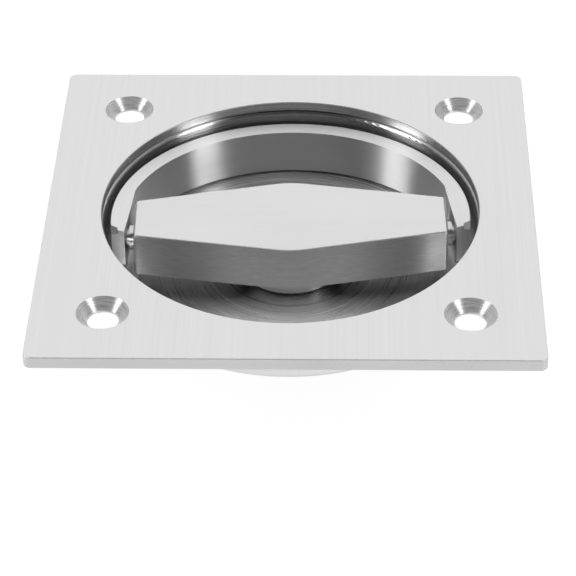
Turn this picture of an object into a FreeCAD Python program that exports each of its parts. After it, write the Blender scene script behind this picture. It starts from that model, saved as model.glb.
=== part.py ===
"""Flush pull handle: a square plate with a round cup, a turning bar and a half ring.

Millimetres, +Z out of the door. The origin is the centre of the four fixing holes, on the
back face of the plate, where it seats on the door. The bar lies along X and the half ring
lies on the +Y side, and both are turned a little about Z.
"""
import FreeCAD, Part
import math
import os

import Sketcher

Vector = FreeCAD.Vector

# Driving dimensions: alias, value in millimetres or degrees, what it is
SIZES = [
    ("plate_side", 100.0, "side of the square plate"),
    ("plate_thickness", 2.5, "thickness of the plate"),
    ("plate_corner", 1.5, "corner radius of the plate"),
    ("plate_edge_break", 0.15, "chamfer of the plate's front edges"),
    ("plate_border", 11.2, "plate left between its side and the round opening"),
    ("opening_back_chamfer", 0.4, "chamfer at the back of the opening"),
    ("rim_seat_depth", 0.2, "recess in the back of the plate, where the cup's rim seats"),
    ("rim_seat_clearance", 0.15, "recess wider in radius than the cup's weld"),
    ("hole_inset", 14.2, "centre of a fixing hole, in from the plate's sides"),
    ("fixing_hole_radius", 3.15, "fixing hole"),
    ("countersink_radius", 5.2, "countersink at the front face"),
    ("countersink_angle", 90.0, "included angle of the countersink"),
    ("rim_step", 0.2, "cup's mouth smaller in radius than the opening"),
    ("cup_draft", 0.3, "cup smaller in radius at the floor than at its mouth"),
    ("cup_depth", 12.9, "from the cup's rim to its floor"),
    ("cup_wall", 1.0, "sheet thickness of the cup"),
    ("cup_corner", 4.8, "inside corner between wall and floor"),
    ("cup_rim_round", 0.9, "rounding of the cup's inner rim"),
    ("weld_leg", 1.0, "leg of the weld behind the rim"),
    ("collar_wall", 4.45, "wall of the bearing collar"),
    ("collar_length", 5.0, "bearing collar, behind the floor"),
    ("collar_chamfer", 0.8, "chamfer of the collar's back edge"),
    ("bush_wall", 1.5, "wall of the bearing bush"),
    ("bush_flange_width", 1.05, "flange of the bearing bush, past its wall"),
    ("bush_flange_thickness", 0.4, "thickness of that flange"),
    ("bearing_clearance", 0.05, "radial running clearance of the journal"),
    ("thrust_clearance", 0.05, "axial clearance at the washers"),
    ("journal_radius", 7.0, "hub journal"),
    ("boss_radius", 10.75, "hub boss under the bar"),
    ("boss_chamfer", 0.3, "chamfer of the boss's lower edge"),
    ("spigot_height", 2.0, "spigot of the hub inside the bar"),
    ("spigot_gap", 0.6, "between the spigot and a dowel"),
    ("tail_length", 2.6, "journal behind the circlip"),
    ("tail_chamfer", 0.8, "chamfer of the journal's end"),
    ("spindle_width", 8.1, "square spindle socket, across flats"),
    ("socket_depth", 9.0, "depth of the square socket"),
    ("screw_radius", 2.0, "hub screw shank"),
    ("screw_hole_clearance", 0.2, "radial clearance round the shank"),
    ("screw_head_radius", 3.5, "hub screw head"),
    ("screw_head_height", 4.0, "height of that head"),
    ("head_clearance", 0.2, "radial clearance round the head"),
    ("screw_web", 3.8, "hub metal clamped under the head"),
    ("screw_cover", 2.2, "bar metal above the screw"),
    ("hex_key", 3.0, "hexagon socket of the screw, across flats"),
    ("hex_depth", 2.0, "depth of the hexagon socket"),
    ("dowel_radius", 1.5, "hub dowel"),
    ("dowel_edge", 1.15, "boss metal outside a dowel"),
    ("dowel_web", 0.55, "boss metal under a dowel"),
    ("dowel_in_bar", 3.4, "dowel length in the bar"),
    ("washer_radius", 12.0, "back washer, outside"),
    ("washer_thickness", 1.0, "back washer"),
    ("washer_clearance", 0.25, "radial clearance of the washers on the journal"),
    ("wave_radius", 10.6, "wave washer, outside"),
    ("wave_thickness", 0.4, "wave washer, sheet"),
    ("wave_height", 1.3, "wave washer, crest to trough"),
    ("wave_count", 3.0, "waves round the washer"),
    ("circlip_thickness", 1.0, "circlip"),
    ("circlip_width", 2.4, "circlip, radial width opposite its gap"),
    ("circlip_taper", 0.5, "offset of the circlip's outer circle"),
    ("groove_depth", 0.3, "circlip groove in the journal"),
    ("groove_side_clearance", 0.05, "groove wider than the circlip, each side"),
    ("circlip_gap", 5.0, "open width of the circlip"),
    ("lug_radius", 1.9, "circlip lug"),
    ("lug_hole_radius", 0.85, "plier hole in a lug"),
    ("bar_middle_width", 25.0, "turn bar, width at the middle"),
    ("bar_end_width", 12.6, "turn bar, width at its ends"),
    ("pivot_gap", 1.15, "between an end of the bar and the ring, at the pivot"),
    ("bar_height", 10.0, "turn bar, top to bottom"),
    ("bar_top_depth", 2.4, "bar's top below the front of the plate"),
    ("bar_middle_round", 16.0, "rounding of the middle corners in plan"),
    ("bar_end_round", 0.8, "rounding of the end corners in plan"),
    ("bar_top_round", 0.8, "rounding of the upper edges"),
    ("bar_bottom_round", 0.4, "rounding of the lower edges"),
    ("pivot_drop", 5.0, "pivot axis below the bar's top"),
    ("pin_radius", 2.0, "pivot pin"),
    ("pin_seat", 9.0, "length of pin in the bar"),
    ("pin_recess", 0.3, "pin end below the ring's outer face"),
    ("pin_chamfer", 0.3, "chamfer of the pin's ends"),
    ("pin_clearance", 0.05, "radial running clearance in the ring"),
    ("spacer_wall", 0.65, "wall of the spacer bush"),
    ("spacer_side_clearance", 0.1, "spacer bush to the ring"),
    ("ring_clearance", 1.2, "between the half ring and the cup wall at the floor"),
    ("ring_width", 2.6, "half ring, width of the section"),
    ("ring_height", 10.3, "half ring, height of the section at its outside"),
    ("ring_dish", 0.8, "upper face of the ring, lower at its inside than at its outside"),
    ("ring_knee_step", 1.95, "start of the flat inner faces, in from the ring's inside"),
    ("ring_flat_step", 0.3, "end of the flat inner faces, in from the ring's inside"),
    ("ring_reach", 4.8, "ring's ends, past the pivot axis"),
    ("ring_edge_break", 0.15, "chamfer of the ring's outer upper edge"),
    ("under_round_step", 2.1, "rounding of the lower outer edge, less than the cup's corner"),
    ("ring_end_round", 2.0, "rounding of the lower end corners"),
    ("ring_relief", 1.3, "bevel that lets the end corners pass the cup"),
    ("ring_relief_width", 1.3, "width of that bevel, from the outer face"),
    ("rest_turn", 1.7, "bar and ring turned about Z as they lie"),
    ("rest_gap", 0.5, "lowest edge of the lying ring above the floor"),
]

# From the plate's side inwards, each radius follows the one outside it
HOLE_REACH = "(Sizes.plate_side / 2 - Sizes.hole_inset)"
OPENING = "(Sizes.plate_side / 2 - Sizes.plate_border)"
CUP_MOUTH = f"({OPENING} - Sizes.rim_step)"
WELD_RADIUS = f"({CUP_MOUTH} + Sizes.cup_wall + Sizes.weld_leg)"
CUP_FOOT = f"({CUP_MOUTH} - Sizes.cup_draft)"
RING_OUTER = f"({CUP_FOOT} - Sizes.ring_clearance)"
RING_INNER = f"({RING_OUTER} - Sizes.ring_width)"
RING_KNEE = f"({RING_INNER} - Sizes.ring_knee_step)"
RING_FLAT = f"({RING_INNER} - Sizes.ring_flat_step)"
KNEE_RISE = f"sqrt({RING_INNER} ^ 2 - {RING_KNEE} ^ 2)"
FLAT_LEAN = f"(({RING_FLAT} - {RING_KNEE}) / ({KNEE_RISE} + Sizes.ring_reach))"
SPACER_RADIUS = "(Sizes.pin_radius + Sizes.spacer_wall)"
PIVOT_FACE = f"({RING_FLAT} - {FLAT_LEAN} * (Sizes.ring_reach + {SPACER_RADIUS}))"
BAR_END = f"({PIVOT_FACE} - Sizes.pivot_gap)"
SPACER_END = f"({PIVOT_FACE} - Sizes.spacer_side_clearance)"
BUSH_BORE = "(Sizes.journal_radius + Sizes.bearing_clearance)"
BUSH_RADIUS = f"({BUSH_BORE} + Sizes.bush_wall)"
FLANGE_RADIUS = f"({BUSH_RADIUS} + Sizes.bush_flange_width)"
COLLAR_RADIUS = f"({BUSH_RADIUS} + Sizes.collar_wall)"
WASHER_BORE = "(Sizes.journal_radius + Sizes.washer_clearance)"
GROOVE_RADIUS = "(Sizes.journal_radius - Sizes.groove_depth)"
DOWEL_REACH = "(Sizes.boss_radius - Sizes.dowel_edge - Sizes.dowel_radius)"
SPIGOT_RADIUS = f"({DOWEL_REACH} - Sizes.dowel_radius - Sizes.spigot_gap)"

# Levels along Z
PLATE_FRONT = "Sizes.plate_thickness"
RIM_LEVEL = "Sizes.rim_seat_depth"
FLOOR_TOP = f"({RIM_LEVEL} - Sizes.cup_depth)"
FLOOR_BACK = f"({FLOOR_TOP} - Sizes.cup_wall)"
COLLAR_BACK = f"({FLOOR_BACK} - Sizes.collar_length)"
BAR_TOP = f"({PLATE_FRONT} - Sizes.bar_top_depth)"
BAR_BOTTOM = f"({BAR_TOP} - Sizes.bar_height)"
PIVOT_LEVEL = f"({BAR_TOP} - Sizes.pivot_drop)"
BOSS_BOTTOM = f"({FLOOR_TOP} + Sizes.bush_flange_thickness + Sizes.thrust_clearance)"
SPIGOT_TOP = f"({BAR_BOTTOM} + Sizes.spigot_height)"
HEAD_SEAT = f"({SPIGOT_TOP} - Sizes.screw_web)"
SCREW_TIP = f"({BAR_TOP} - Sizes.screw_cover)"
DOWEL_BOTTOM = f"({BOSS_BOTTOM} + Sizes.dowel_web)"
WASHER_TOP = f"({COLLAR_BACK} - Sizes.thrust_clearance)"
WASHER_BACK = f"({WASHER_TOP} - Sizes.washer_thickness)"
WAVE_TOP = f"({WASHER_BACK} - Sizes.thrust_clearance)"
WAVE_BACK = f"({WAVE_TOP} - Sizes.wave_height)"
CIRCLIP_TOP = f"({WAVE_BACK} - Sizes.thrust_clearance)"
CIRCLIP_BACK = f"({CIRCLIP_TOP} - Sizes.circlip_thickness)"
TAIL_END = f"({CIRCLIP_BACK} - Sizes.tail_length)"

# The ring lies with the rounding of its lower edge just above the floor of the cup
UNDER_ROUND = "(Sizes.cup_corner - Sizes.under_round_step)"
ROUND_OUT = f"({RING_OUTER} - {UNDER_ROUND})"
ROUND_DOWN = f"(Sizes.ring_height / 2 - {UNDER_ROUND})"
ROUND_DROP = f"({PIVOT_LEVEL} - {FLOOR_TOP} - Sizes.rest_gap - {UNDER_ROUND})"
ROUND_ARM = f"sqrt({ROUND_OUT} ^ 2 + {ROUND_DOWN} ^ 2)"
REST_TILT = f"(asin({ROUND_DROP} / {ROUND_ARM}) - atan({ROUND_DOWN} / {ROUND_OUT}))"

FULL_TURN = 360.0
ORIGIN_POINT = (-1, 1)
NEAR = 0.001


def make_sizes(doc):
    """The sheet of driving dimensions: value, alias and meaning in one row each."""
    sheet = doc.addObject("Spreadsheet::Sheet", "Sizes")
    for row, (alias, number, meaning) in enumerate(SIZES, start=1):
        sheet.set(f"A{row}", meaning)
        sheet.set(f"B{row}", str(number))
        sheet.setAlias(f"B{row}", alias)
    doc.recompute()
    return sheet


def value(doc, expression):
    """The number that an expression on the sheet gives now."""
    return float(doc.Sizes.evalExpression(expression.replace("Sizes.", "")))


def new_body(doc, name):
    body = doc.addObject("PartDesign::Body", name)
    body.Label = name
    return body


def new_sketch(body, name, plane, level=None):
    """A sketch on one of the body's own planes, moved along its normal by level."""
    sketch = body.newObject("Sketcher::SketchObject", name)
    support = next(item for item in body.Origin.OriginFeatures if item.Role == plane)
    sketch.AttachmentSupport = [(support, "")]
    sketch.MapMode = "FlatFace"
    if level is not None:
        sketch.setExpression("AttachmentOffset.Base.z", level)
    return sketch


def fix(sketch, kind, geometry, point, expression):
    """Hold one point of the sketch at a distance from the origin, bound to the sheet."""
    number = value(sketch.Document, expression)
    if abs(number) < NEAR:
        axis = -2 if kind == "DistanceX" else -1
        sketch.addConstraint(Sketcher.Constraint("PointOnObject", geometry, point, axis))
        return
    held = Sketcher.Constraint(kind, *ORIGIN_POINT, geometry, point, number)
    index = sketch.addConstraint(held)
    sketch.setExpression(f"Constraints[{index}]", expression)


def polygon(sketch, corners):
    """Straight edges through corners, each a pair of expressions."""
    doc = sketch.Document
    points = [Vector(value(doc, x), value(doc, y), 0) for x, y in corners]
    first = sketch.GeometryCount
    count = len(corners)
    for index, point in enumerate(points):
        sketch.addGeometry(Part.LineSegment(point, points[(index + 1) % count]))
    for index, (x, y) in enumerate(corners):
        line = first + index
        following = first + (index + 1) % count
        sketch.addConstraint(Sketcher.Constraint("Coincident", line, 2, following, 1))
        fix(sketch, "DistanceX", line, 1, x)
        fix(sketch, "DistanceY", line, 1, y)


def circle(sketch, radius, x="0", y="0"):
    """A circle whose radius and centre are expressions."""
    doc = sketch.Document
    centre = Vector(value(doc, x), value(doc, y), 0)
    index = sketch.addGeometry(Part.Circle(centre, Vector(0, 0, 1), value(doc, radius)))
    fix(sketch, "DistanceX", index, 3, x)
    fix(sketch, "DistanceY", index, 3, y)
    held = sketch.addConstraint(Sketcher.Constraint("Radius", index, value(doc, radius)))
    sketch.setExpression(f"Constraints[{held}]", radius)


def square(sketch, half):
    polygon(sketch, [(f"-{half}", f"-{half}"), (half, f"-{half}"), (half, half), (f"-{half}", half)])


def hexagon(sketch, across_flats):
    """A hexagon about the origin with two of its flats along X."""
    flat = f"({across_flats} / 2)"
    corner = f"({across_flats} / sqrt(3))"
    polygon(sketch, [(corner, "0"), (f"{corner} / 2", flat), (f"-{corner} / 2", flat),
                     (f"-{corner}", "0"), (f"-{corner} / 2", f"-{flat}"), (f"{corner} / 2", f"-{flat}")])


def revolve(body, name, corners, axis="V_Axis"):
    """Turn a profile in the XZ plane about the sketch's vertical or horizontal axis."""
    sketch = new_sketch(body, f"{name}_profile", "XZ_Plane")
    polygon(sketch, corners)
    turned = body.newObject("PartDesign::Revolution", name)
    turned.Profile = sketch
    turned.ReferenceAxis = (sketch, [axis])
    turned.Angle = FULL_TURN
    body.Document.recompute()
    return turned


def pad(body, name, sketch, length, midplane=False):
    grown = body.newObject("PartDesign::Pad", name)
    grown.Profile = sketch
    grown.setExpression("Length", length)
    if midplane:
        grown.SideType = "Symmetric"
    body.Document.recompute()
    return grown


def pocket(body, name, sketch, length=None, reverse=False):
    """Cut a sketch to a length, or through all both ways, and prove that it cut."""
    before = body.Shape.Volume
    cut = body.newObject("PartDesign::Pocket", name)
    cut.Profile = sketch
    cut.Reversed = reverse
    if length is None:
        cut.SideType = "Symmetric"
        cut.Type = "ThroughAll"
    else:
        cut.setExpression("Length", length)
    body.Document.recompute()
    if body.Shape.Volume > before - NEAR:
        raise RuntimeError(f"{body.Label}: {name} cuts nothing")
    return cut


def dress(body, kind, name, size_name, size, test):
    """Fillet or chamfer every edge of the body's tip that passes the test."""
    base = body.Tip
    edges = [f"Edge{index}" for index, edge in enumerate(base.Shape.Edges, start=1) if test(edge)]
    if not edges:
        raise RuntimeError(f"{body.Label}: {name} finds no edge")
    feature = body.newObject(f"PartDesign::{kind}", name)
    feature.Base = (base, edges)
    feature.setExpression(size_name, size)
    body.Document.recompute()
    return feature


def fillet(body, name, radius, test):
    return dress(body, "Fillet", name, "Radius", radius, test)


def chamfer(body, name, size, test):
    return dress(body, "Chamfer", name, "Size", size, test)


def level_of(edge):
    """The edge's height if it lies flat, otherwise None."""
    box = edge.BoundBox
    return box.ZMin if box.ZLength < NEAR else None


def is_at(number, wanted):
    return number is not None and abs(number - wanted) < NEAR


def is_circle(edge, radius):
    return isinstance(edge.Curve, Part.Circle) and abs(edge.Curve.Radius - radius) < NEAR


def is_upright(edge):
    box = edge.BoundBox
    return box.XLength < NEAR and box.YLength < NEAR


def place(item, turn="Sizes.rest_turn", level=None, tilt=None):
    """Bind an item's own turn about Z, its height and its tilt about X to the sheet."""
    item.setExpression("Placement.Rotation.Yaw", turn)
    if level is not None:
        item.setExpression("Placement.Base.z", level)
    if tilt is not None:
        item.setExpression("Placement.Rotation.Roll", tilt)
    item.Document.recompute()


# Face plate
def make_face_plate(doc):
    body = new_body(doc, "face_plate")
    outline = new_sketch(body, "plate_outline", "XY_Plane")
    square(outline, "(Sizes.plate_side / 2)")
    pad(body, "plate_pad", outline, "Sizes.plate_thickness")
    fillet(body, "plate_corners", "Sizes.plate_corner", is_upright)
    opening = new_sketch(body, "opening_sketch", "XY_Plane")
    circle(opening, OPENING)
    pocket(body, "opening", opening)
    seat = new_sketch(body, "rim_seat_sketch", "XY_Plane")
    circle(seat, f"{WELD_RADIUS} + Sizes.rim_seat_clearance")
    pocket(body, "rim_seat", seat, RIM_LEVEL, reverse=True)
    front = value(doc, PLATE_FRONT)
    chamfer(body, "front_edges", "Sizes.plate_edge_break", lambda edge: is_at(level_of(edge), front))
    radius = value(doc, OPENING)
    rim = value(doc, RIM_LEVEL)
    chamfer(body, "opening_back_edge", "Sizes.opening_back_chamfer",
            lambda edge: is_at(level_of(edge), rim) and is_circle(edge, radius))
    holes = new_sketch(body, "fixing_hole_centres", "XY_Plane", PLATE_FRONT)
    for x in ("-", ""):
        for y in ("-", ""):
            circle(holes, "Sizes.fixing_hole_radius", f"{x}{HOLE_REACH}", f"{y}{HOLE_REACH}")
    doc.recompute()
    before = body.Shape.Volume
    drilled = body.newObject("PartDesign::Hole", "fixing_holes")
    drilled.Profile = holes
    drilled.DepthType = "ThroughAll"
    drilled.HoleCutType = "Countersink"
    drilled.HoleCutCustomValues = True
    drilled.setExpression("Diameter", "2 * Sizes.fixing_hole_radius")
    drilled.setExpression("HoleCutDiameter", "2 * Sizes.countersink_radius")
    drilled.setExpression("HoleCutCountersinkAngle", "Sizes.countersink_angle")
    doc.recompute()
    if body.Shape.Volume > before - NEAR:
        raise RuntimeError("fixing holes cut nothing")
    return body


# Cup, drawn from sheet, with a rounded rim seated in the plate's back and a weld round it
def make_cup(doc):
    body = new_body(doc, "cup")
    wall = "Sizes.cup_wall"
    weld = "Sizes.weld_leg"
    slope = "(Sizes.cup_draft / Sizes.cup_depth)"
    revolve(body, "cup_turned", [
        (BUSH_RADIUS, FLOOR_BACK),
        (f"{CUP_FOOT} + {wall}", FLOOR_BACK),
        (f"{CUP_MOUTH} + {wall} - {slope} * {weld}", f"{RIM_LEVEL} - {weld}"),
        (WELD_RADIUS, RIM_LEVEL),
        (CUP_MOUTH, RIM_LEVEL),
        (CUP_FOOT, FLOOR_TOP),
        (BUSH_RADIUS, FLOOR_TOP),
    ])
    inner = value(doc, CUP_FOOT)
    outer = value(doc, f"{CUP_FOOT} + {wall}")
    mouth = value(doc, CUP_MOUTH)
    rim = value(doc, RIM_LEVEL)
    floor_top = value(doc, FLOOR_TOP)
    floor_back = value(doc, FLOOR_BACK)
    fillet(body, "inner_corner", "Sizes.cup_corner",
           lambda edge: is_circle(edge, inner) and is_at(level_of(edge), floor_top))
    fillet(body, "outer_corner", "Sizes.cup_corner + Sizes.cup_wall",
           lambda edge: is_circle(edge, outer) and is_at(level_of(edge), floor_back))
    fillet(body, "rim_round", "Sizes.cup_rim_round",
           lambda edge: is_circle(edge, mouth) and is_at(level_of(edge), rim))
    return body


# Bearing behind the cup floor
def make_bearing_collar(doc):
    body = new_body(doc, "bearing_collar")
    revolve(body, "collar_turned", [
        (BUSH_RADIUS, COLLAR_BACK),
        (f"{COLLAR_RADIUS} - Sizes.collar_chamfer", COLLAR_BACK),
        (COLLAR_RADIUS, f"{COLLAR_BACK} + Sizes.collar_chamfer"),
        (COLLAR_RADIUS, FLOOR_BACK),
        (BUSH_RADIUS, FLOOR_BACK),
    ])
    return body


def make_bearing_bush(doc):
    body = new_body(doc, "bearing_bush")
    flange_top = f"{FLOOR_TOP} + Sizes.bush_flange_thickness"
    revolve(body, "bush_turned", [
        (BUSH_BORE, COLLAR_BACK),
        (BUSH_RADIUS, COLLAR_BACK),
        (BUSH_RADIUS, FLOOR_TOP),
        (FLANGE_RADIUS, FLOOR_TOP),
        (FLANGE_RADIUS, flange_top),
        (BUSH_BORE, flange_top),
    ])
    return body


# Hub: spigot in the bar, boss, journal with a circlip groove, square socket from the back
def make_hub(doc):
    body = new_body(doc, "hub")
    bore = "(Sizes.screw_radius + Sizes.screw_hole_clearance)"
    head = "(Sizes.screw_head_radius + Sizes.head_clearance)"
    journal = "Sizes.journal_radius"
    groove_top = f"{CIRCLIP_TOP} + Sizes.groove_side_clearance"
    groove_back = f"{CIRCLIP_BACK} - Sizes.groove_side_clearance"
    revolve(body, "hub_turned", [
        (bore, SPIGOT_TOP),
        (bore, HEAD_SEAT),
        (head, HEAD_SEAT),
        (head, TAIL_END),
        (f"{journal} - Sizes.tail_chamfer", TAIL_END),
        (journal, f"{TAIL_END} + Sizes.tail_chamfer"),
        (journal, groove_back),
        (GROOVE_RADIUS, groove_back),
        (GROOVE_RADIUS, groove_top),
        (journal, groove_top),
        (journal, BOSS_BOTTOM),
        ("Sizes.boss_radius - Sizes.boss_chamfer", BOSS_BOTTOM),
        ("Sizes.boss_radius", f"{BOSS_BOTTOM} + Sizes.boss_chamfer"),
        ("Sizes.boss_radius", BAR_BOTTOM),
        (SPIGOT_RADIUS, BAR_BOTTOM),
        (SPIGOT_RADIUS, SPIGOT_TOP),
    ])
    socket = new_sketch(body, "spindle_square", "XY_Plane", TAIL_END)
    square(socket, "(Sizes.spindle_width / 2)")
    pocket(body, "spindle_socket", socket, "Sizes.socket_depth", reverse=True)
    dowels = new_sketch(body, "dowel_centres", "XY_Plane", BAR_BOTTOM)
    for side in ("-", ""):
        circle(dowels, "Sizes.dowel_radius", f"{side}{DOWEL_REACH}")
    pocket(body, "dowel_holes", dowels, f"{BAR_BOTTOM} - {DOWEL_BOTTOM}")
    place(body)
    return body


def make_hub_screw(doc):
    body = new_body(doc, "hub_screw")
    head_bottom = f"{HEAD_SEAT} - Sizes.screw_head_height"
    revolve(body, "screw_turned", [
        ("0", head_bottom),
        ("Sizes.screw_head_radius", head_bottom),
        ("Sizes.screw_head_radius", HEAD_SEAT),
        ("Sizes.screw_radius", HEAD_SEAT),
        ("Sizes.screw_radius", SCREW_TIP),
        ("0", SCREW_TIP),
    ])
    key = new_sketch(body, "key_hexagon", "XY_Plane", head_bottom)
    hexagon(key, "Sizes.hex_key")
    pocket(body, "key_socket", key, "Sizes.hex_depth", reverse=True)
    place(body)
    return body


def make_hub_dowels(doc):
    """Two plain dowels across the joint between hub and bar."""
    solids = []
    for side in (-1, 1):
        name = "dowel_left" if side < 0 else "dowel_right"
        dowel = doc.addObject("Part::Cylinder", name)
        dowel.setExpression("Radius", "Sizes.dowel_radius")
        dowel.setExpression("Height", f"{BAR_BOTTOM} + Sizes.dowel_in_bar - {DOWEL_BOTTOM}")
        dowel.setExpression("Placement.Base.x", f"{side} * {DOWEL_REACH}")
        dowel.setExpression("Placement.Base.z", DOWEL_BOTTOM)
        solids.append(dowel)
    group = doc.addObject("Part::Compound", "hub_dowels")
    group.Links = solids
    group.Label = "hub_dowels"
    place(group)
    return group


# Washers and circlip behind the bearing
def make_back_washer(doc):
    body = new_body(doc, "back_washer")
    revolve(body, "washer_turned", [
        (WASHER_BORE, WASHER_BACK),
        ("Sizes.washer_radius", WASHER_BACK),
        ("Sizes.washer_radius", WASHER_TOP),
        (WASHER_BORE, WASHER_TOP),
    ])
    place(body)
    return body


def wave_edge(radius, middle, swing, waves):
    """A closed curve on a cylinder that rises and falls a whole number of times."""
    steps = 24 * waves
    points = []
    for step in range(steps):
        angle = 2.0 * math.pi * step / steps
        height = middle + swing * math.cos(waves * angle)
        points.append(Vector(radius * math.cos(angle), radius * math.sin(angle), height))
    curve = Part.BSplineCurve()
    curve.interpolate(Points=points, PeriodicFlag=True)
    return curve.toShape()


def make_wave_washer(doc):
    """A flat ring pressed into waves: four ruled faces closed into one solid."""
    waves = round(value(doc, "Sizes.wave_count"))
    half_sheet = value(doc, "Sizes.wave_thickness / 2")
    swing = value(doc, "Sizes.wave_height / 2 - Sizes.wave_thickness / 2")
    middle = value(doc, f"({WAVE_TOP} + {WAVE_BACK}) / 2")
    bore = value(doc, WASHER_BORE)
    outside = value(doc, "Sizes.wave_radius")
    loops = [wave_edge(radius, middle + offset, swing, waves)
             for radius, offset in ((bore, half_sheet), (outside, half_sheet),
                                    (outside, -half_sheet), (bore, -half_sheet))]
    faces = [Part.makeRuledSurface(loops[index], loops[(index + 1) % len(loops)])
             for index in range(len(loops))]
    shell = Part.makeShell(faces)
    shell.sewShape()
    solid = Part.makeSolid(Part.Shell(shell.Faces))
    if solid.Volume < 0:
        solid.reverse()
    washer = doc.addObject("Part::Feature", "wave_washer")
    washer.Label = "wave_washer"
    washer.Shape = solid
    place(washer)
    return washer


def make_circlip(doc):
    """An external circlip: an eccentric ring, cut open, with two lugs for pliers."""
    body = new_body(doc, "circlip")
    ring = new_sketch(body, "circlip_ring", "XY_Plane", CIRCLIP_BACK)
    outer = f"({GROOVE_RADIUS} + Sizes.circlip_width - Sizes.circlip_taper)"
    lug_level = f"-({GROOVE_RADIUS} + Sizes.lug_radius)"
    circle(ring, outer, "0", "Sizes.circlip_taper")
    pad(body, "ring_pad", ring, "Sizes.circlip_thickness")
    for side in ("-", ""):
        lug_name = "lug_left" if side else "lug_right"
        lug = new_sketch(body, f"{lug_name}_outline", "XY_Plane", CIRCLIP_BACK)
        across = f"{side}(Sizes.circlip_gap / 2 + Sizes.lug_radius)"
        circle(lug, "Sizes.lug_radius", across, lug_level)
        pad(body, lug_name, lug, "Sizes.circlip_thickness")
        hole = new_sketch(body, f"{lug_name}_hole", "XY_Plane", CIRCLIP_BACK)
        circle(hole, "Sizes.lug_hole_radius", across, lug_level)
        pocket(body, f"{lug_name}_plier_hole", hole)
    bore = new_sketch(body, "circlip_bore", "XY_Plane", CIRCLIP_BACK)
    circle(bore, GROOVE_RADIUS)
    pocket(body, "bore", bore)
    gap = new_sketch(body, "circlip_opening", "XY_Plane", CIRCLIP_BACK)
    half = "(Sizes.circlip_gap / 2)"
    reach = f"-(2 * {outer})"
    polygon(gap, [(f"-{half}", reach), (half, reach), (half, "0"), (f"-{half}", "0")])
    pocket(body, "opening", gap)
    place(body)
    return body


# Turn bar
def make_turn_bar(doc):
    body = new_body(doc, "turn_bar")
    outline = new_sketch(body, "bar_plan", "XY_Plane", BAR_BOTTOM)
    blunt = "(Sizes.bar_end_width / 2)"
    middle = "(Sizes.bar_middle_width / 2)"
    polygon(outline, [(BAR_END, f"-{blunt}"), (BAR_END, blunt), ("0", middle),
                      (f"-{BAR_END}", blunt), (f"-{BAR_END}", f"-{blunt}"), ("0", f"-{middle}")])
    pad(body, "bar_pad", outline, "Sizes.bar_height")
    top = value(doc, BAR_TOP)
    bottom = value(doc, BAR_BOTTOM)
    fillet(body, "middle_corners", "Sizes.bar_middle_round",
           lambda edge: is_upright(edge) and abs(edge.BoundBox.XMin) < NEAR)
    half_length = value(doc, BAR_END)
    fillet(body, "end_corners", "Sizes.bar_end_round",
           lambda edge: is_upright(edge) and abs(abs(edge.BoundBox.XMin) - half_length) < NEAR)
    fillet(body, "top_edges", "Sizes.bar_top_round", lambda edge: is_at(level_of(edge), top))
    fillet(body, "bottom_edges", "Sizes.bar_bottom_round", lambda edge: is_at(level_of(edge), bottom))
    spigot = new_sketch(body, "spigot_circle", "XY_Plane", BAR_BOTTOM)
    circle(spigot, SPIGOT_RADIUS)
    pocket(body, "spigot_seat", spigot, "Sizes.spigot_height", reverse=True)
    screw = new_sketch(body, "screw_circle", "XY_Plane", SPIGOT_TOP)
    circle(screw, "Sizes.screw_radius")
    pocket(body, "screw_hole", screw, f"{SCREW_TIP} - {SPIGOT_TOP}", reverse=True)
    dowels = new_sketch(body, "dowel_circles", "XY_Plane", BAR_BOTTOM)
    for side in ("-", ""):
        circle(dowels, "Sizes.dowel_radius", f"{side}{DOWEL_REACH}")
    pocket(body, "dowel_seats", dowels, "Sizes.dowel_in_bar", reverse=True)
    for side, reverse in (("", False), ("-", True)):
        name = "left" if reverse else "right"
        pin = new_sketch(body, f"{name}_pin_circle", "YZ_Plane", f"{side}{BAR_END}")
        circle(pin, "Sizes.pin_radius", "0", PIVOT_LEVEL)
        pocket(body, f"{name}_pin_hole", pin, "Sizes.pin_seat", reverse=reverse)
    place(body)
    return body


# Pivot: a pin through each end of the ring, and a spacer bush round it
def make_pivot_pin(doc, name, half_turn):
    body = new_body(doc, name)
    inner = f"{BAR_END} - Sizes.pin_seat"
    outer = f"{RING_OUTER} - Sizes.pin_recess"
    break_size = "Sizes.pin_chamfer"
    radius = "Sizes.pin_radius"
    revolve(body, "pin_turned", [
        (inner, "0"),
        (outer, "0"),
        (outer, f"{radius} - {break_size}"),
        (f"{outer} - {break_size}", radius),
        (f"{inner} + {break_size}", radius),
        (inner, f"{radius} - {break_size}"),
    ], axis="H_Axis")
    place(body, f"Sizes.rest_turn + {half_turn}", PIVOT_LEVEL)
    return body


def make_spacer_bush(doc, name, half_turn):
    body = new_body(doc, name)
    revolve(body, "spacer_turned", [
        (BAR_END, "Sizes.pin_radius"),
        (SPACER_END, "Sizes.pin_radius"),
        (SPACER_END, SPACER_RADIUS),
        (BAR_END, SPACER_RADIUS),
    ], axis="H_Axis")
    place(body, f"Sizes.rest_turn + {half_turn}", PIVOT_LEVEL)
    return body


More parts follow.
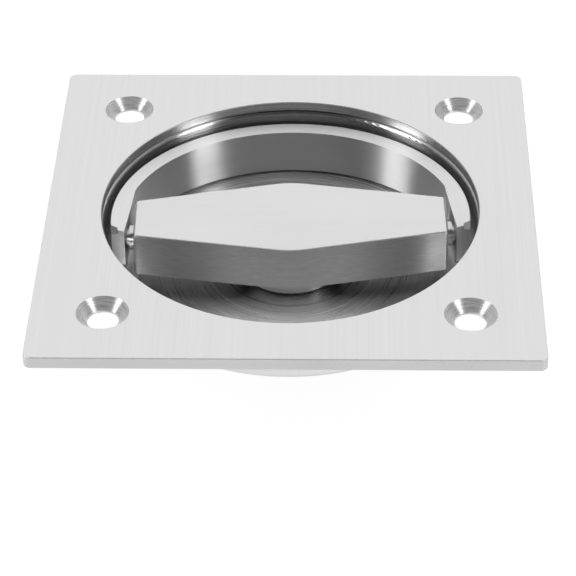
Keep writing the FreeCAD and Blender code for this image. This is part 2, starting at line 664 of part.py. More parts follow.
# Pull ring: a turned hoop with a dished upper face, cut to a half ring with flat inner ends
def cut_ring_plan(body):
    """Cut away the inside, up to flats that spread towards the ends, and all past the ends."""
    doc = body.Document
    sketch = new_sketch(body, "inside_plan", "XY_Plane")
    radius = value(doc, RING_INNER)
    flat = value(doc, RING_FLAT)
    start = value(doc, RING_KNEE)
    reach = value(doc, "Sizes.ring_reach")
    outside = value(doc, f"2 * {RING_OUTER}")
    knee = math.acos(start / radius)
    arc = Part.ArcOfCircle(Part.Circle(Vector(0, 0, 0), Vector(0, 0, 1), radius), knee, math.pi - knee)
    sketch.addGeometry(arc)
    rise = radius * math.sin(knee)
    left_knee = Vector(-start, rise, 0)
    corners = [left_knee, Vector(-flat, -reach, 0), Vector(-outside, -reach, 0),
               Vector(-outside, -outside, 0), Vector(outside, -outside, 0),
               Vector(outside, -reach, 0), Vector(flat, -reach, 0),
               Vector(start, rise, 0)]
    for first, second in zip(corners, corners[1:]):
        sketch.addGeometry(Part.LineSegment(first, second))
    last = sketch.GeometryCount - 1
    sketch.addConstraint(Sketcher.Constraint("Coincident", 0, 3, *ORIGIN_POINT))
    sketch.addConstraint(Sketcher.Constraint("Coincident", 0, 2, 1, 1))
    sketch.addConstraint(Sketcher.Constraint("Coincident", 0, 1, last, 2))
    held = sketch.addConstraint(Sketcher.Constraint("Radius", 0, radius))
    sketch.setExpression(f"Constraints[{held}]", RING_INNER)
    for line in range(1, last):
        sketch.addConstraint(Sketcher.Constraint("Coincident", line, 2, line + 1, 1))
    far = f"(2 * {RING_OUTER})"
    end = "-Sizes.ring_reach"
    fix(sketch, "DistanceX", 1, 1, f"-{RING_KNEE}")
    fix(sketch, "DistanceX", last, 2, RING_KNEE)
    joints = [(f"-{RING_FLAT}", end), (f"-{far}", end), (f"-{far}", f"-{far}"),
              (far, f"-{far}"), (far, end), (RING_FLAT, end)]
    for line, (x, y) in enumerate(joints, start=1):
        fix(sketch, "DistanceX", line, 2, x)
        fix(sketch, "DistanceY", line, 2, y)
    pocket(body, "inside", sketch)


def round_end(sketch, doc):
    """The waste outside the rounded lower corner of the ring's ends, seen from the side."""
    reach = value(doc, "Sizes.ring_reach")
    half = value(doc, "Sizes.ring_height / 2")
    radius = value(doc, "Sizes.ring_end_round")
    centre = Vector(-reach + radius, -half + radius, 0)
    round_corner = Part.Circle(centre, Vector(0, 0, 1), radius)
    sketch.addGeometry(Part.ArcOfCircle(round_corner, math.pi, 1.5 * math.pi))
    sketch.addGeometry(Part.LineSegment(Vector(centre.x, -half, 0), Vector(-reach, -half, 0)))
    sketch.addGeometry(Part.LineSegment(Vector(-reach, -half, 0), Vector(-reach, centre.y, 0)))
    sketch.addConstraint(Sketcher.Constraint("Tangent", 0, 2, 1, 1))
    sketch.addConstraint(Sketcher.Constraint("Coincident", 1, 2, 2, 1))
    sketch.addConstraint(Sketcher.Constraint("Tangent", 2, 2, 0, 1))
    sketch.addConstraint(Sketcher.Constraint("Horizontal", 1))
    held = sketch.addConstraint(Sketcher.Constraint("Radius", 0, radius))
    sketch.setExpression(f"Constraints[{held}]", "Sizes.ring_end_round")
    sketch.addConstraint(Sketcher.Constraint("Vertical", 2))
    fix(sketch, "DistanceX", 1, 2, "-Sizes.ring_reach")
    fix(sketch, "DistanceY", 1, 2, "-Sizes.ring_height / 2")


def make_pull_ring(doc):
    body = new_body(doc, "pull_ring")
    half = "(Sizes.ring_height / 2)"
    slope = "(Sizes.ring_dish / Sizes.ring_width)"
    core = f"({RING_KNEE} - Sizes.ring_width)"
    brink = f"({RING_OUTER} - Sizes.ring_edge_break)"
    revolve(body, "hoop", [
        (core, f"-{half}"),
        (RING_OUTER, f"-{half}"),
        (RING_OUTER, f"{half} - Sizes.ring_edge_break"),
        (brink, half),
        (core, f"{half} - {slope} * ({brink} - {core})"),
    ])
    radius = value(doc, RING_OUTER)
    bottom = value(doc, f"-{half}")
    fillet(body, "under_round", UNDER_ROUND,
           lambda edge: is_circle(edge, radius) and is_at(level_of(edge), bottom))
    cut_ring_plan(body)
    end = "-Sizes.ring_reach"
    corner = new_sketch(body, "end_corner_side", "YZ_Plane")
    doc.recompute()
    round_end(corner, doc)
    pocket(body, "end_corners", corner)
    bevel = "Sizes.ring_relief"
    edge_of_ring = f"sqrt({RING_OUTER} ^ 2 - Sizes.ring_reach ^ 2)"
    for side, reverse in (("", True), ("-", False)):
        name = "right" if reverse else "left"
        level = f"{side}({edge_of_ring} - Sizes.ring_relief_width)"
        relief = new_sketch(body, f"{name}_relief_side", "YZ_Plane", level)
        polygon(relief, [(end, f"{half} - {bevel}"), (f"{end} + {bevel}", half), (end, half)])
        pocket(body, f"{name}_relief", relief, "2 * Sizes.ring_relief_width", reverse=reverse)
    hole = new_sketch(body, "pin_circle", "YZ_Plane")
    circle(hole, "Sizes.pin_radius + Sizes.pin_clearance")
    pocket(body, "pin_holes", hole)
    place(body, level=PIVOT_LEVEL, tilt=f"-{REST_TILT}")
    return body


def check(doc, parts):
    """Stop if any object failed or any piece is not a valid closed shape."""
    for item in doc.Objects:
        if "Invalid" in item.State or "Error" in item.State:
            raise RuntimeError(f"{item.Name} failed: {item.State}")
    for item in parts:
        shape = item.Shape
        if shape.isNull() or not shape.isValid() or not shape.Solids:
            raise RuntimeError(f"{item.Label} is not a valid solid")


def main():
    doc = FreeCAD.newDocument("flush_pull_handle")
    make_sizes(doc)
    parts = [
        make_face_plate(doc),
        make_cup(doc),
        make_bearing_collar(doc),
        make_bearing_bush(doc),
        make_turn_bar(doc),
        make_hub(doc),
        make_hub_screw(doc),
        make_hub_dowels(doc),
        make_back_washer(doc),
        make_wave_washer(doc),
        make_circlip(doc),
        make_pivot_pin(doc, "pivot_pin_right", 0),
        make_pivot_pin(doc, "pivot_pin_left", -180),
        make_spacer_bush(doc, "spacer_bush_right", 0),
        make_spacer_bush(doc, "spacer_bush_left", -180),
        make_pull_ring(doc),
    ]
    doc.recompute()
    check(doc, parts)
    os.makedirs("parts", exist_ok=True)
    for item in parts:
        item.Shape.exportStep(f"parts/{item.Label}.step")
        print(item.Label, len(item.Shape.Solids), round(item.Shape.Volume, 2))


main()
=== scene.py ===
"""Flush pull handle on a white studio floor: finishes, lights and camera, in metres.

The origin is the centre of the fixing holes on the back of the plate, and +Z points out of the
door. The plate and the bar are brushed straight; the cup, the hub, the ring and the washers are
turned.
"""
import math

import bpy
from mathutils import Matrix, Vector

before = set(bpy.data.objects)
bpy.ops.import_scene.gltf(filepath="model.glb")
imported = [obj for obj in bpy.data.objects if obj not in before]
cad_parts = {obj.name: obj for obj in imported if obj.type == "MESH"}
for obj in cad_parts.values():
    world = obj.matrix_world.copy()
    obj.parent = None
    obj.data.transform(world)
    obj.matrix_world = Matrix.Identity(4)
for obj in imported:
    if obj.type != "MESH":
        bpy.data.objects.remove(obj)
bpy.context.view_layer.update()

# Camera, solved from the corners of the plate in the photo
CAMERA_PLACE = Vector((0.011944, -0.409138, 0.295032))
CAMERA_AIM = Vector((0.000154, -0.027781, 0.0025))
CAMERA_ROLL = math.radians(-0.782)
SENSOR = 36.0
LENS = 152.744
CLIP_START = 0.01
CLIP_END = 20.0

# Places on the handle that a finish follows
HOLE_REACH = 0.0358
COUNTERSINK = 0.00525
OPENING = 0.0388
PIVOT = (0.0, 0.0, -0.0049)
PIVOT_AXIS = (0.99956, 0.029666, 0.0)
REST_TILT = math.radians(3.59)
REST_TURN = math.radians(1.7)
BAR_ACROSS = Matrix.Rotation(REST_TURN, 3, "Z") @ Vector((0.0, 1.0, 0.0))
CUP_FLOOR = -0.0127
FLOOR_GROOVE = 0.0140
FLOOR_RIDGE = 0.0175
RING_END = -0.0048

# Directions of the object
ALONG_X = (1.0, 0.0, 0.0)
ALONG_Y = (0.0, 1.0, 0.0)
ALONG_Z = (0.0, 0.0, 1.0)
LEVEL_PART = (1.0, 1.0, 0.0)

# Grain: changes per metre, along the brushing and in both directions across it
STRAIGHT_STREAKS = (10.0, 2200.0, 2200.0)
STRAIGHT_CLOUDS = (12.0, 700.0, 700.0)
# Turned grain: changes round the axis, in X and in Y, and per metre along the turned profile
TURNED_STREAKS = (1.6, 1.6, 3400.0)
TURNED_CLOUDS = (0.8, 0.8, 420.0)
# Smudges on all steel, and the two grains of the plastic: changes per metre
SMUDGES = (38.0, 38.0, 38.0)
PLASTIC_GRAIN = (3000.0, 3000.0, 3000.0)
PLASTIC_CLOUDS = (250.0, 250.0, 250.0)
STEEL_RELIEF = 0.00001
PLASTIC_RELIEF = 0.00002
PLASTIC_BUMP = 0.4
PLASTIC_ROUGH = (0.45, 0.6)
PLASTIC_CLOUD_SHADES = (0.7, 1.3)
PLASTIC_GRAIN_SHADE = 0.4

# Parts of a noise's range that a shade or a roughness follows
MIDDLE = (0.3, 0.7)
WIDER = (0.25, 0.75)
WIDEST = (0.2, 0.8)
SMUDGE_ROUGH = (-0.025, 0.035)
GRAIN_TURN = 0.25

# Shape tests. "Upright" is the Z part of a normal: 0 on a wall, 1 on a level face
SIDEWAYS_FACE = 0.7
OPENING_MARGIN = 0.0005
OPENING_WALL = 0.9
FLOOR_MARGIN = 0.0002
OUTWARD = 0.002
RING_END_MARGIN = 0.00005

# Plate: upright ranges of its sides, its broken edges and its top, and what they do to the steel,
# with painted shade on the sides and a painted highlight on the broken edges
PLATE_SIDE = (0.1, 0.3)
PLATE_EDGE_FROM = (0.3, 0.5)
PLATE_EDGE_TO = (0.8, 0.95)
PLATE_TOP = (0.95, 0.99)
SIDE_PAINTED_SHADE = 0.8
EDGE_PAINTED_HIGHLIGHT = 1.3
EDGE_ROUGH = 0.5
HOLE_ROUGH = 0.1
OFF_TOP_ROUGH = 0.06
HOLE_RINGS = (0.7, 1.25)
# The opening's wall is darker towards its foot: painted shade in the gap above the cup
OPENING_HEIGHT = (0.0004, 0.0008)
OPENING_PAINTED_SHADE = (0.45, 0.8)
OPENING_RINGS = (0.8, 1.25)

# Cup: painted shade and a painted highlight on the tool's groove and ridge, painted light outside,
# painted shade near the rim, painted shade and glints on the ledge, painted light on the near
# floor
LINE_WIDTH = (0.0001, 0.0003)
GROOVE_PAINTED_SHADE = 0.35
RIDGE_PAINTED_HIGHLIGHT = 0.3
OUTSIDE_PAINTED_LIGHT = 1.22
RIM_HEIGHT = (-0.008, -0.003)
RIM_PAINTED_SHADE = 0.72
LEDGE_HEIGHT = (-0.0005, -0.0002)
LEDGE_SIDEWAYS = (0.3, 0.5)
LEDGE_PAINTED_SHADE_AND_GLINT = (0.5, 1.5)
NEAR_FLOOR_PLACE = (-0.022, -0.012)
NEAR_FLOOR_PAINTED_LIGHT = 1.75

# Bar: its sides are rougher than its top, and a stretch of them between the middle and the ends
# is darker, a painted shade
BAR_ROUGH_AT = (0.1, 0.9)
BAR_SIDE_ROUGH = 0.25
BAR_SIDE_AT = (0.2, 0.9)
BAR_SIDE_STREAKS = (0.99, 1.11)
BAR_DIP_FROM = (0.010, 0.020)
BAR_DIP_TO = (0.022, 0.030)
BAR_DIP_PAINTED_SHADE = 0.76

# Ring: its level faces are glossier, and painted light on them and painted shade on the walls make
# them a little brighter
RING_GLOSS_AT = (0.86, 0.92)
RING_GLOSS = -0.09
RING_TONE_AT = (0.6, 0.9)
RING_PAINTED_LIGHT_AND_SHADE = (0.84, 1.03)

# Studio floor, just under the handle
FLOOR_LEVEL = -0.0248
FLOOR_REACH = 3.0
FLOOR_LIT = (0.8, 0.8, 0.8, 1.0)
FLOOR_SHADOWED = (0.22, 0.22, 0.22, 1.0)
FLOOR_GLOW = 0.88
WHITE = (1.0, 1.0, 1.0, 1.0)

# Studio light: a canopy over the back and the top, and a haze that grows towards the back
CANOPY = (0.0, 0.5, 0.866)
CANOPY_EDGE = (0.54, 0.68)
CANOPY_LIGHT = (0.1, 1.0)
HAZE_PLACE = (-0.1, 0.9)
HAZE_LIGHT = (0.0, 0.3)
HAZE_LEAST = 0.1
# Soft boxes: the bearings of both edges in degrees, and the strength
SOFT_BOXES = ((49.5, 68.0, 8.0), (-84.0, -63.0, 6.2))
BOX_SOFTNESS = math.radians(3.0)
BOX_LOW = math.radians(3.0)
BOX_HIGH = math.radians(60.0)
BOX_FADE_AT = (math.radians(22.0), math.radians(38.0))
BOX_FADE = (1.0, 0.13)


class Graph:
    """The nodes of a material or of the world, made one after another."""

    def __init__(self, tree):
        self.tree = tree
        tree.nodes.clear()

    def add(self, kind, inputs=None, **settings):
        """Add a node; an input is linked where a socket is given, and set otherwise."""
        item = self.tree.nodes.new(kind)
        for key, setting in settings.items():
            setattr(item, key, setting)
        for key, given in (inputs or {}).items():
            if isinstance(given, bpy.types.NodeSocket):
                self.tree.links.new(given, item.inputs[key])
            else:
                item.inputs[key].default_value = given
        return item

    def math(self, operation, first, second=0.0):
        given = {0: first, 1: second}
        return self.add("ShaderNodeMath", given, operation=operation).outputs[0]

    def times(self, first, second):
        return self.math("MULTIPLY", first, second)

    def absolute(self, number):
        return self.math("ABSOLUTE", number)

    def distance(self, first, second):
        return self.absolute(self.math("SUBTRACT", first, second))

    def vector(self, operation, first, second=(0.0, 0.0, 0.0)):
        given = {0: first, 1: second}
        return self.add("ShaderNodeVectorMath", given, operation=operation).outputs["Vector"]

    def scaled(self, vector, factors):
        return self.vector("MULTIPLY", vector, factors)

    def dot(self, first, second):
        given = {0: first, 1: second}
        return self.add("ShaderNodeVectorMath", given, operation="DOT_PRODUCT").outputs["Value"]

    def length(self, vector):
        return self.add("ShaderNodeVectorMath", {0: vector}, operation="LENGTH").outputs["Value"]

    def combine(self, x, y, z):
        return self.add("ShaderNodeCombineXYZ", {"X": x, "Y": y, "Z": z}).outputs[0]

    def separate(self, vector):
        return self.add("ShaderNodeSeparateXYZ", {0: vector}).outputs

    def upright(self, normal):
        """0 on a wall, 1 on a level face."""
        return self.absolute(self.separate(normal)[2])

    def noise(self, vector, detail=2.0, roughness=0.5):
        given = {"Vector": vector, "Scale": 1.0, "Detail": detail, "Roughness": roughness}
        return self.add("ShaderNodeTexNoise", given).outputs["Fac"]

    def span(self, number, given_range, new_range, smooth=False):
        """Map a number from one range to another, held at both ends."""
        given = {"Value": number, "From Min": given_range[0], "From Max": given_range[1],
                 "To Min": new_range[0], "To Max": new_range[1]}
        kind = "SMOOTHSTEP" if smooth else "LINEAR"
        item = self.add("ShaderNodeMapRange", given, interpolation_type=kind, clamp=True)
        return item.outputs["Result"]

    def mix(self, share, first, second):
        return self.add("ShaderNodeMix", {"Factor": share, "A": first, "B": second}).outputs[0]

    def mix_vector(self, share, first, second):
        """Mix two vectors as (1 - share) * first + share * second."""
        step = self.vector("SUBTRACT", second, first)
        item = self.add("ShaderNodeVectorMath", {0: step, "Scale": share}, operation="SCALE")
        return self.vector("ADD", first, item.outputs["Vector"])

    def grey(self, number):
        return self.add("ShaderNodeCombineColor", {0: number, 1: number, 2: number}).outputs[0]


def new_material(name):
    """An empty material and the graph of its nodes."""
    material = bpy.data.materials.new(name)
    material.use_nodes = True
    return material, Graph(material.node_tree)


class Finish:
    """The grain of one surface: where it runs, its streaks and its slow clouds."""

    def __init__(self, grain, streak, cloud, radius=None):
        self.grain = grain
        self.streak = streak
        self.cloud = cloud
        self.radius = radius
        self.extra_rough = 0.0


def straight(graph, point, along, across):
    """Grain that runs straight along one direction of the object."""
    depth = tuple(Vector(along).cross(Vector(across)))
    place = graph.combine(graph.dot(point, along), graph.dot(point, across),
                          graph.dot(point, depth))
    streak = graph.noise(graph.scaled(place, STRAIGHT_STREAKS), roughness=0.6)
    cloud = graph.noise(graph.scaled(place, STRAIGHT_CLOUDS))
    return Finish(along, streak, cloud)


def turned(graph, point):
    """Grain in rings about the Z axis of the given point, as a lathe leaves it."""
    x, y, z = graph.separate(point)
    flat = graph.combine(x, y, 0.0)
    radius = graph.length(flat)
    turn_x, turn_y, _ = graph.separate(graph.vector("NORMALIZE", flat))
    place = graph.combine(turn_x, turn_y, graph.math("ADD", radius, z))
    streak = graph.noise(graph.scaled(place, TURNED_STREAKS), detail=3.0, roughness=0.62)
    cloud = graph.noise(graph.scaled(place, TURNED_CLOUDS))
    grain = graph.combine(graph.times(turn_y, -1.0), turn_x, 0.0)
    return Finish(grain, streak, cloud, radius)


def blend_finish(graph, share, first, second):
    """The first finish where the share is 0 and the second where it is 1."""
    return Finish(graph.mix_vector(share, first.grain, second.grain),
                  graph.mix(share, first.streak, second.streak),
                  graph.mix(share, first.cloud, second.cloud))


def steel(name, build, colour, roughness=0.28, anisotropic=0.6, contrast=0.05, clouds=0.05,
          bump=0.35, uneven=0.04):
    """A steel whose finish and tone come from build(graph, point, normal)."""
    material, graph = new_material(name)
    place = graph.add("ShaderNodeTexCoord")
    point = place.outputs["Object"]
    finish, tone = build(graph, point, place.outputs["Normal"])
    shade = graph.math("ADD", graph.span(finish.streak, WIDER, (-contrast, contrast)),
                       graph.span(finish.cloud, MIDDLE, (-clouds, clouds)))
    shade = graph.times(graph.math("ADD", shade, 1.0), colour)
    # On several parts the tone holds painted light and painted shade
    shade = graph.times(shade, tone)
    smudge = graph.noise(graph.scaled(point, SMUDGES), detail=3.0)
    streaks = graph.span(finish.streak, WIDEST, (roughness - uneven, roughness + uneven))
    rough = graph.math("ADD", streaks, graph.span(smudge, MIDDLE, SMUDGE_ROUGH))
    rough = graph.math("ADD", rough, finish.extra_rough)
    relief = graph.add("ShaderNodeBump", {"Strength": bump, "Distance": STEEL_RELIEF,
                                          "Height": finish.streak})
    tangent = graph.add("ShaderNodeVectorTransform", {0: finish.grain}, vector_type="VECTOR",
                        convert_from="OBJECT", convert_to="WORLD")
    shader = graph.add("ShaderNodeBsdfPrincipled", {
        "Base Color": graph.grey(shade), "Metallic": 1.0, "Roughness": rough,
        "Anisotropic": anisotropic, "Anisotropic Rotation": GRAIN_TURN,
        "Tangent": tangent.outputs[0], "Normal": relief.outputs[0]})
    graph.add("ShaderNodeOutputMaterial", {"Surface": shader.outputs[0]})
    return material


def dark_plastic(name, colour):
    """Dark bearing plastic with a fine moulded grain."""
    material, graph = new_material(name)
    point = graph.add("ShaderNodeTexCoord").outputs["Object"]
    grain = graph.noise(graph.scaled(point, PLASTIC_GRAIN))
    cloud = graph.noise(graph.scaled(point, PLASTIC_CLOUDS))
    darkest, lightest = (colour * share for share in PLASTIC_CLOUD_SHADES)
    shade = graph.math("ADD", graph.span(cloud, MIDDLE, (darkest, lightest)),
                       graph.span(grain, MIDDLE, (0.0, colour * PLASTIC_GRAIN_SHADE)))
    relief = graph.add("ShaderNodeBump", {"Strength": PLASTIC_BUMP,
                                          "Distance": PLASTIC_RELIEF, "Height": grain})
    shader = graph.add("ShaderNodeBsdfPrincipled", {
        "Base Color": graph.grey(shade), "Roughness": graph.span(cloud, MIDDLE, PLASTIC_ROUGH),
        "Normal": relief.outputs[0]})
    graph.add("ShaderNodeOutputMaterial", {"Surface": shader.outputs[0]})
    return material


def plate_grain(graph, point, normal):
    """Brushed along Y on top and along each side, turned in the holes and in the opening, with
    painted shade on the sides and at the foot of the opening and a painted highlight on the broken
    edges.
    """
    x, y, z = graph.separate(point)
    upright = graph.upright(normal)
    lengthwise = straight(graph, point, ALONG_Y, ALONG_X)
    crosswise = straight(graph, point, ALONG_X, ALONG_Y)
    facing_y = graph.math("GREATER_THAN", graph.absolute(graph.separate(normal)[1]),
                          SIDEWAYS_FACE)
    finish = blend_finish(graph, facing_y, lengthwise, crosswise)

    # One turned hole, folded onto all four corners
    hole = turned(graph, graph.combine(graph.math("SUBTRACT", graph.absolute(x), HOLE_REACH),
                                       graph.math("SUBTRACT", graph.absolute(y), HOLE_REACH), z))
    signs = graph.combine(graph.math("SIGN", x), graph.math("SIGN", y), 1.0)
    hole.grain = graph.scaled(hole.grain, signs)
    in_hole = graph.math("LESS_THAN", hole.radius, COUNTERSINK)
    finish = blend_finish(graph, in_hole, finish, hole)

    opening = turned(graph, point)
    in_opening = graph.times(graph.math("LESS_THAN", opening.radius, OPENING + OPENING_MARGIN),
                             graph.math("LESS_THAN", upright, OPENING_WALL))
    finish = blend_finish(graph, in_opening, finish, opening)

    on_side = graph.span(upright, PLATE_SIDE, (1.0, 0.0))
    on_edge = graph.times(graph.span(upright, PLATE_EDGE_FROM, (0.0, 1.0)),
                          graph.span(upright, PLATE_EDGE_TO, (1.0, 0.0)))
    cut_rough = graph.mix(in_hole, graph.times(on_edge, EDGE_ROUGH), HOLE_ROUGH)
    finish.extra_rough = graph.math("ADD", cut_rough,
                                    graph.span(upright, PLATE_TOP, (OFF_TOP_ROUGH, 0.0)))
    # Painted shade on the sides and a painted highlight on the broken edges
    tone = graph.mix(on_edge, graph.mix(on_side, 1.0, SIDE_PAINTED_SHADE), EDGE_PAINTED_HIGHLIGHT)
    tone = graph.mix(in_hole, tone, graph.span(hole.streak, MIDDLE, HOLE_RINGS))
    # Painted shade darkens the foot of the opening's wall; the rings are grain
    wall_shade_and_rings = graph.times(graph.span(z, OPENING_HEIGHT, OPENING_PAINTED_SHADE, smooth=True),
                            graph.span(opening.streak, MIDDLE, OPENING_RINGS))
    return finish, graph.mix(in_opening, tone, wall_shade_and_rings)


def cup_grain(graph, point, normal):
    """Turned all over, with a groove and a ridge left by the tool on the floor shown by painted
    shade and a painted highlight, and with painted light and shade on the cup's faces.
    """
    x, y, z = graph.separate(point)
    finish = turned(graph, point)
    on_floor = graph.math("LESS_THAN", graph.distance(z, CUP_FLOOR), FLOOR_MARGIN)
    # Painted shade in the groove and a painted highlight on the ridge
    dark = graph.span(graph.distance(finish.radius, FLOOR_GROOVE), LINE_WIDTH, (GROOVE_PAINTED_SHADE, 0.0))
    bright = graph.span(graph.distance(finish.radius, FLOOR_RIDGE), LINE_WIDTH,
                        (RIDGE_PAINTED_HIGHLIGHT, 0.0))
    lines = graph.math("ADD", graph.math("SUBTRACT", 1.0, graph.times(dark, on_floor)),
                       graph.times(bright, on_floor))

    # Outward faces are brighter: painted light from the white floor below
    outward = graph.math("GREATER_THAN", graph.dot(point, graph.scaled(normal, LEVEL_PART)),
                         OUTWARD)
    # The wall darkens towards the rim: painted shade
    near_rim = graph.span(z, RIM_HEIGHT, (1.0, RIM_PAINTED_SHADE), smooth=True)
    # The ledge at the mouth gets painted shade at the front and back and a painted glint at the
    # sides
    sideways = graph.math("DIVIDE", graph.absolute(x), finish.radius)
    on_ledge = graph.span(z, LEDGE_HEIGHT, (0.0, 1.0), smooth=True)
    ledge = graph.mix(on_ledge, 1.0, graph.span(sideways, LEDGE_SIDEWAYS, LEDGE_PAINTED_SHADE_AND_GLINT, smooth=True))
    tone = graph.mix(outward, graph.times(near_rim, ledge), OUTSIDE_PAINTED_LIGHT)
    # The near side of the floor is brighter: painted light
    near_floor_light = graph.span(y, NEAR_FLOOR_PLACE, (NEAR_FLOOR_PAINTED_LIGHT, 1.0), smooth=True)
    tone = graph.times(tone, graph.mix(on_floor, 1.0, near_floor_light))
    return finish, graph.times(lines, tone)


def turned_grain(graph, point, normal):
    """Turned about the axis of the cup, in one tone."""
    return turned(graph, point), 1.0


def bar_grain(graph, point, normal):
    """Brushed along the bar, more coarsely on its sides, with painted shade on a stretch of each
    side.
    """
    finish = straight(graph, point, PIVOT_AXIS, tuple(BAR_ACROSS))
    upright = graph.upright(normal)
    finish.extra_rough = graph.span(upright, BAR_ROUGH_AT, (BAR_SIDE_ROUGH, 0.0))
    reach = graph.absolute(graph.dot(point, PIVOT_AXIS))
    # Painted shade on the sides between the middle and the ends
    dip = graph.times(graph.span(reach, BAR_DIP_FROM, (0.0, 1.0), smooth=True),
                      graph.span(reach, BAR_DIP_TO, (1.0, 0.0), smooth=True))
    side_grain_and_shade = graph.times(graph.span(finish.streak, MIDDLE, BAR_SIDE_STREAKS),
                            graph.mix(dip, 1.0, BAR_DIP_PAINTED_SHADE))
    return finish, graph.mix(graph.span(upright, BAR_SIDE_AT, (1.0, 0.0)), 1.0, side_grain_and_shade)


def ring_grain(graph, point, normal):
    """Turned about the ring's own axis, which leans at rest, and straight at the two ends."""
    lean = graph.add("ShaderNodeVectorRotate", {"Vector": point, "Center": PIVOT,
                                                "Axis": PIVOT_AXIS, "Angle": REST_TILT},
                     rotation_type="AXIS_ANGLE").outputs[0]
    at_end = graph.math("LESS_THAN", graph.dot(lean, tuple(BAR_ACROSS)),
                        RING_END + RING_END_MARGIN)
    end = straight(graph, lean, ALONG_Z, PIVOT_AXIS)
    finish = blend_finish(graph, at_end, turned(graph, lean), end)
    upright = graph.upright(normal)
    finish.extra_rough = graph.span(upright, RING_GLOSS_AT, (0.0, RING_GLOSS))
    # Painted shade on the walls and painted light on the level faces
    return finish, graph.span(upright, RING_TONE_AT, RING_PAINTED_LIGHT_AND_SHADE)


def cross_turned_grain(graph, point, normal):
    """Turned about the pivot axis, for the pins and their spacers."""
    lifted = graph.math("SUBTRACT", graph.separate(point)[2], PIVOT[2])
    finish = turned(graph, graph.combine(graph.dot(point, tuple(BAR_ACROSS)), lifted,
                                         graph.dot(point, PIVOT_AXIS)))
    sideways, upwards, _ = graph.separate(finish.grain)
    finish.grain = graph.combine(graph.times(sideways, BAR_ACROSS.x),
                                 graph.times(sideways, BAR_ACROSS.y), upwards)
    return finish, 1.0


def white_floor():
    """A floor that shows as white and keeps a faint shadow."""
    corners = [(x * FLOOR_REACH, y * FLOOR_REACH, FLOOR_LEVEL)
               for x, y in ((-1, -1), (1, -1), (1, 1), (-1, 1))]
    mesh = bpy.data.meshes.new("studio_floor")
    mesh.from_pydata(corners, [], [(0, 1, 2, 3)])
    floor = bpy.data.objects.new("studio_floor", mesh)
    bpy.context.scene.collection.objects.link(floor)

    material, graph = new_material("studio_white")
    ray = graph.add("ShaderNodeLightPath").outputs
    mirrored = graph.math("MAXIMUM", ray["Is Glossy Ray"], ray["Is Transmission Ray"])
    seen = graph.math("MAXIMUM", ray["Is Camera Ray"], mirrored)
    lit = graph.add("ShaderNodeBsdfDiffuse", {"Color": FLOOR_LIT})
    shadowed = graph.add("ShaderNodeBsdfDiffuse", {"Color": FLOOR_SHADOWED})
    glow = graph.add("ShaderNodeEmission", {"Color": WHITE, "Strength": FLOOR_GLOW})
    both = graph.add("ShaderNodeAddShader", {0: shadowed.outputs[0], 1: glow.outputs[0]})
    surface = graph.add("ShaderNodeMixShader", {0: seen, 1: lit.outputs[0], 2: both.outputs[0]})
    graph.add("ShaderNodeOutputMaterial", {"Surface": surface.outputs[0]})
    mesh.materials.append(material)


def inside(graph, number, low, high):
    """1 where the number lies between low and high, with soft edges."""
    rise = (low - BOX_SOFTNESS, low + BOX_SOFTNESS)
    fall = (high - BOX_SOFTNESS, high + BOX_SOFTNESS)
    return graph.times(graph.span(number, rise, (0.0, 1.0), smooth=True),
                       graph.span(number, fall, (1.0, 0.0), smooth=True))


def studio_light():
    """Bright over the back and the top, dark on the camera's side, with two soft boxes."""
    world = bpy.data.worlds.new("studio")
    bpy.context.scene.world = world
    world.use_nodes = True
    graph = Graph(world.node_tree)
    way = graph.vector("NORMALIZE", graph.add("ShaderNodeTexCoord").outputs["Generated"])
    x, y, z = graph.separate(way)
    canopy = graph.span(graph.dot(way, CANOPY), CANOPY_EDGE, CANOPY_LIGHT, smooth=True)
    haze = graph.span(y, HAZE_PLACE, HAZE_LIGHT, smooth=True)
    light = graph.math("MAXIMUM", canopy, graph.math("ADD", haze, HAZE_LEAST))

    bearing = graph.math("ARCTAN2", x, graph.times(y, -1.0))
    height = graph.math("ARCSINE", z)
    fade = graph.span(height, BOX_FADE_AT, BOX_FADE, smooth=True)
    for near_edge, far_edge, strength in SOFT_BOXES:
        box = graph.times(inside(graph, bearing, math.radians(near_edge), math.radians(far_edge)),
                          inside(graph, height, BOX_LOW, BOX_HIGH))
        light = graph.mix(box, light, graph.times(fade, strength))

    # The camera sees plain white behind the floor
    ray = graph.add("ShaderNodeLightPath").outputs
    shown = graph.mix(ray["Is Camera Ray"], light, 1.0)
    sky = graph.add("ShaderNodeBackground", {"Color": WHITE, "Strength": shown})
    graph.add("ShaderNodeOutputWorld", {"Surface": sky.outputs[0]})


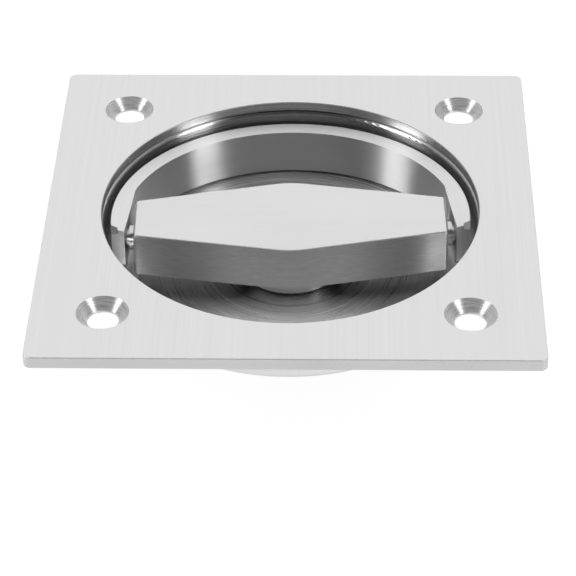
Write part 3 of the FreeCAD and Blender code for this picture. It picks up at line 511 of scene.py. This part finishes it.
def photo_camera():
    """The camera at the photo's viewing angle."""
    forward = (CAMERA_AIM - CAMERA_PLACE).normalized()
    level = forward.cross(Vector(ALONG_Z)).normalized()
    upright = level.cross(forward)
    right = level * math.cos(CAMERA_ROLL) + upright * math.sin(CAMERA_ROLL)
    up = right.cross(forward)
    turn = Matrix((right, up, -forward)).transposed()
    lens = bpy.data.cameras.new("camera")
    lens.sensor_width = SENSOR
    lens.lens = LENS
    lens.clip_start = CLIP_START
    lens.clip_end = CLIP_END
    camera = bpy.data.objects.new("camera", lens)
    camera.matrix_world = Matrix.Translation(CAMERA_PLACE) @ turn.to_4x4()
    bpy.context.scene.collection.objects.link(camera)
    bpy.context.scene.camera = camera


# Finishes of all the pieces
plate_steel = steel("plate_brushed", plate_grain, 0.735, roughness=0.2, anisotropic=0.9,
                    contrast=0.018, clouds=0.008, bump=0.006, uneven=0.004)
cup_steel = steel("cup_turned", cup_grain, 0.64, anisotropic=1.0, contrast=0.15, clouds=0.1)
bar_steel = steel("bar_brushed", bar_grain, 0.75, roughness=0.19, anisotropic=1.0,
                  contrast=0.014, clouds=0.006, bump=0.004, uneven=0.004)
hub_steel = steel("hub_turned", turned_grain, 0.72, roughness=0.34, anisotropic=1.0,
                  contrast=0.06, clouds=0.04)
ring_steel = steel("ring_turned", ring_grain, 0.74, roughness=0.33, anisotropic=1.0,
                   contrast=0.03, clouds=0.02, bump=0.1)
screw_steel = steel("fastener_turned", turned_grain, 0.6, roughness=0.3, contrast=0.08)
pin_steel = steel("pin_turned", cross_turned_grain, 0.66, roughness=0.24, contrast=0.08)
spring_steel = steel("spring_dark", turned_grain, 0.3, roughness=0.36, contrast=0.15)
bush_plastic = dark_plastic("bush_plastic", 0.045)
FINISHES = {
    "face_plate": plate_steel,
    "cup": cup_steel,
    "bearing_collar": cup_steel,
    "bearing_bush": bush_plastic,
    "turn_bar": bar_steel,
    "hub": hub_steel,
    "hub_screw": screw_steel,
    "hub_dowels": screw_steel,
    "back_washer": screw_steel,
    "wave_washer": spring_steel,
    "circlip": spring_steel,
    "pivot_pin_left": pin_steel,
    "pivot_pin_right": pin_steel,
    "spacer_bush_left": pin_steel,
    "spacer_bush_right": pin_steel,
    "pull_ring": ring_steel,
}
for node, material in FINISHES.items():
    for slot in bpy.data.objects[node].material_slots:
        slot.material = material

white_floor()
studio_light()
photo_camera()
bpy.context.scene.view_settings.view_transform = "Standard"
